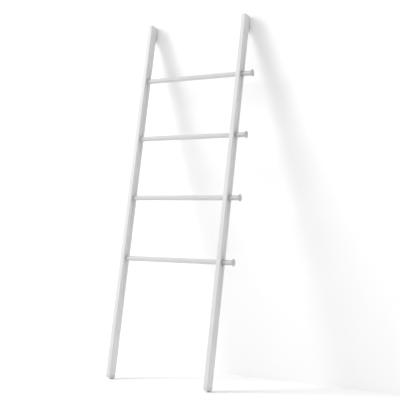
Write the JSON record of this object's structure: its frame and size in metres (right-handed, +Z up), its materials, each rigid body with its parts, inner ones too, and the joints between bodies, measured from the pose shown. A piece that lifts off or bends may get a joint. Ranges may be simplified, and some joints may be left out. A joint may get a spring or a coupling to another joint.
{
  "type": "leaning ladder rack",
  "caption": "White ladder rack that leans on a wall: flat rails, round rungs to drape quilts or towels over, and disc-ended pegs outside one rail to hang things on.",
  "frame": {"origin": "on the floor, at the centre of the bounding box, with the rack leaning as in use", "axes": "+Z up, +Y towards the wall that the rack leans on, +X along the rungs towards the side with the pegs"},
  "size_m": [0.5286, 0.3424, 1.477],
  "materials": {
    "rail_coat": "satin white powder coat on steel tube",
    "rung_coat": "satin white powder coat on steel tube",
    "peg_coat": "satin white powder coat on steel bar",
    "disc_coat": "satin white powder coat on pressed steel",
    "foot_plastic": "moulded white plastic, fine matt texture",
    "cap_plastic": "moulded white plastic, fine matt texture",
    "pad_rubber": "light grey soft rubber, matt",
    "washer_rubber": "grey rubber, matt",
    "insert_steel": "zinc-plated steel",
    "spacer_steel": "zinc-plated steel",
    "screw_steel": "zinc-plated steel",
    "stud_steel": "zinc-plated steel"
  },
  "bodies": {
    "root": {"left_rail": "rail_coat", "right_rail": "rail_coat", "rung_1": "rung_coat", "rung_2": "rung_coat", "rung_3": "rung_coat", "rung_4": "rung_coat", "peg_1": "peg_coat", "peg_2": "peg_coat", "peg_3": "peg_coat", "peg_4": "peg_coat", "peg_disc_1": "disc_coat", "peg_disc_2": "disc_coat", "peg_disc_3": "disc_coat", "peg_disc_4": "disc_coat", "left_foot_plug": "foot_plastic", "right_foot_plug": "foot_plastic", "left_top_cap": "cap_plastic", "right_top_cap": "cap_plastic", "left_wall_pad": "pad_rubber", "right_wall_pad": "pad_rubber", "peg_washer_1": "washer_rubber", "peg_washer_2": "washer_rubber", "peg_washer_3": "washer_rubber", "peg_washer_4": "washer_rubber", "rung_left_insert_1": "insert_steel", "rung_left_insert_2": "insert_steel", "rung_left_insert_3": "insert_steel", "rung_left_insert_4": "insert_steel", "rung_right_insert_1": "insert_steel", "rung_right_insert_2": "insert_steel", "rung_right_insert_3": "insert_steel", "rung_right_insert_4": "insert_steel", "left_spacer_1": "spacer_steel", "left_spacer_2": "spacer_steel", "left_spacer_3": "spacer_steel", "left_spacer_4": "spacer_steel", "right_spacer_1": "spacer_steel", "right_spacer_2": "spacer_steel", "right_spacer_3": "spacer_steel", "right_spacer_4": "spacer_steel", "rung_screw_1": "screw_steel", "rung_screw_2": "screw_steel", "rung_screw_3": "screw_steel", "rung_screw_4": "screw_steel", "peg_stud_1": "stud_steel", "peg_stud_2": "stud_steel", "peg_stud_3": "stud_steel", "peg_stud_4": "stud_steel"}
  },
  "joints": []
}
